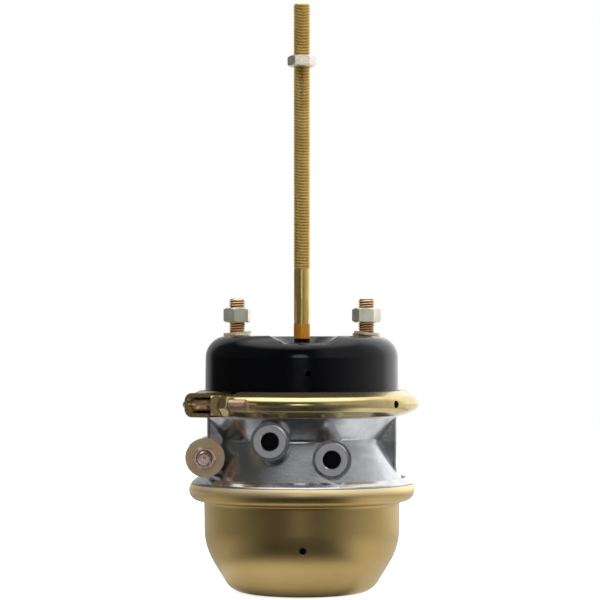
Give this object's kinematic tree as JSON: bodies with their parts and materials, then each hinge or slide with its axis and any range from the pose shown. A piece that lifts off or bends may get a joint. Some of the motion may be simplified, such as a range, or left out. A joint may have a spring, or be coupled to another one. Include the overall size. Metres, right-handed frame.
{
  "type": "air brake chamber",
  "caption": "Double-diaphragm spring brake chamber with threaded push rod, mounting studs, V-band clamp and two air ports.",
  "frame": {"origin": "centre of the base that it stands on, on the push rod's axis", "axes": "+Z along the push rod towards its tip, -Y towards the side with the two air ports, -X towards the release bolt's pocket"},
  "size_m": [0.218, 0.2266, 0.548],
  "materials": {
    "gold_paint": "satin",
    "black_paint": "gloss",
    "cast_aluminium": "satin",
    "yellow_zinc": "satin",
    "clear_zinc": "satin",
    "bronze_zinc": "satin",
    "orange_paint": "satin",
    "spring_steel": "satin",
    "rubber": "matte",
    "bush_plastic": "matte"
  },
  "bodies": {
    "chamber": {"spring_housing": "gold_paint", "dust_plug": "rubber", "flange_case": "cast_aluminium", "center_bushing": "bush_plastic", "rod_seals": "rubber", "bushing_ring": "spring_steel", "non_pressure_housing": "black_paint", "rod_guide": "rubber", "clamp_half_front": "yellow_zinc", "clamp_half_rear": "yellow_zinc", "clamp_bolts": "yellow_zinc", "clamp_nuts": "yellow_zinc", "mounting_studs": "yellow_zinc", "stud_nuts": "clear_zinc", "stud_lock_washers": "yellow_zinc", "service_diaphragm": "rubber", "parking_diaphragm": "rubber", "power_spring": "spring_steel", "return_spring": "spring_steel"},
    "parking_piston": {"adapter_rod": "spring_steel", "reaction_pad": "bush_plastic", "adapter_plate": "spring_steel", "pressure_plate": "cast_aluminium"},
    "push_rod": {"push_rod": "yellow_zinc", "stroke_band": "orange_paint", "rod_nut": "clear_zinc", "push_plate": "spring_steel"},
    "release_bolt": {"release_bolt": "bronze_zinc", "release_washer": "bronze_zinc", "release_nut": "bronze_zinc"}
  },
  "joints": [
    {"name": "parking_stroke", "type": "slide", "parent": "chamber", "child": "parking_piston", "axis": [0, 0, 1], "range_m": [-0.0635, 0], "stiffness_N_per_m": 56000, "springref_m": 0.111, "deforming": ["power_spring", "parking_diaphragm", "service_diaphragm", "return_spring"]},
    {"name": "push_rod_over_stroke", "type": "slide", "parent": "parking_piston", "child": "push_rod", "axis": [0, 0, 1], "range_m": [0, 0.008], "stiffness_N_per_m": 1500, "springref_m": -0.06},
    {"name": "release_bolt_draw", "type": "slide", "parent": "chamber", "child": "release_bolt", "axis": [0, -1, 0], "range_m": [0, 0.06]}
  ]
}
